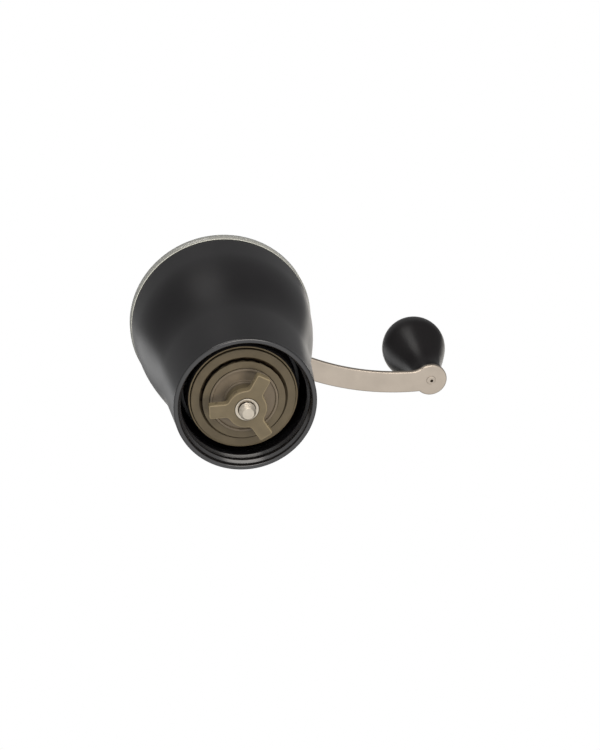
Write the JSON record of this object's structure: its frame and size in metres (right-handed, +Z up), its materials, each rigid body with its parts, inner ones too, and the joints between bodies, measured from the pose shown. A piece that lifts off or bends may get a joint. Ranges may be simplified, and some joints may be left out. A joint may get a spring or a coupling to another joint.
{
  "type": "manual coffee grinder",
  "caption": "Head of a hand coffee mill: bell hopper under a clear lid, conical burrs set by a winged knob, and a curved crank with a bulb grip.",
  "frame": {"origin": "centre of the neck's rim, on the mill's axis, where the head screws down on its jar", "axes": "+Z up the shaft from the neck to the crank, +X along the crank to its grip, +Y to the side the crank bows to"},
  "size_m": [0.1868, 0.093, 0.1804],
  "materials": {
    "black_plastic": "satin moulded black plastic",
    "olive_plastic": "satin moulded olive plastic",
    "olive_ceramic": "unglazed olive ceramic",
    "smoked_clear": "clear plastic with a slight smoke tint",
    "satin_steel": "satin strip steel",
    "bright_steel": "bright turned steel",
    "nylon": "natural nylon",
    "rubber": "black rubber"
  },
  "bodies": {
    "body": {"hopper_body": "black_plastic", "hopper_floor": "black_plastic", "burr_housing": "olive_plastic", "outer_burr": "olive_ceramic", "shaft_support": "black_plastic", "shaft_bush": "nylon"},
    "lid": {"clear_lid": "smoked_clear", "lid_grommet": "rubber"},
    "drive": {"drive_shaft": "bright_steel", "upper_spring_washer": "bright_steel", "thrust_washer": "nylon", "clip_washer": "bright_steel", "retaining_clip": "bright_steel", "crank_arm": "satin_steel", "crank_washer": "bright_steel", "cap_nut": "bright_steel", "grip_axle": "satin_steel", "grip_washer": "nylon"},
    "grip": {"grip_knob": "black_plastic", "grip_bush": "nylon", "grip_cap": "black_plastic"},
    "burr_carriage": {"burr_carrier": "olive_plastic", "inner_burr": "olive_ceramic", "burr_retainer": "bright_steel", "lower_spring_washer": "bright_steel", "burr_spring": "bright_steel"},
    "adjuster": {"adjusting_knob": "olive_plastic", "adjusting_insert": "bright_steel"}
  },
  "joints": [
    {"name": "crank_turn", "type": "hinge", "parent": "body", "child": "drive", "pos_m": [0, 0, 0], "axis": [0, 0, 1], "continuous": true},
    {"name": "grip_spin", "type": "hinge", "parent": "drive", "child": "grip", "pos_m": [0.1227, 0, 0], "axis": [0, 0, 1], "continuous": true},
    {"name": "burr_travel", "type": "slide", "parent": "drive", "child": "burr_carriage", "axis": [0, 0, 1], "range_m": [-0.00187, 0], "deforming": ["burr_spring"]},
    {"name": "adjust_turn", "type": "hinge", "parent": "burr_carriage", "child": "adjuster", "pos_m": [0, 0, 0], "axis": [0, 0, 1], "range_deg": [-540, 0]},
    {"name": "lid_lift", "type": "slide", "parent": "body", "child": "lid", "axis": [0, 0, 1], "range_m": [0, 0.003]}
  ],
  "couplings": [
    {"joint": "adjust_turn", "follows": "burr_travel", "rad_per_m": 5026.5}
  ]
}
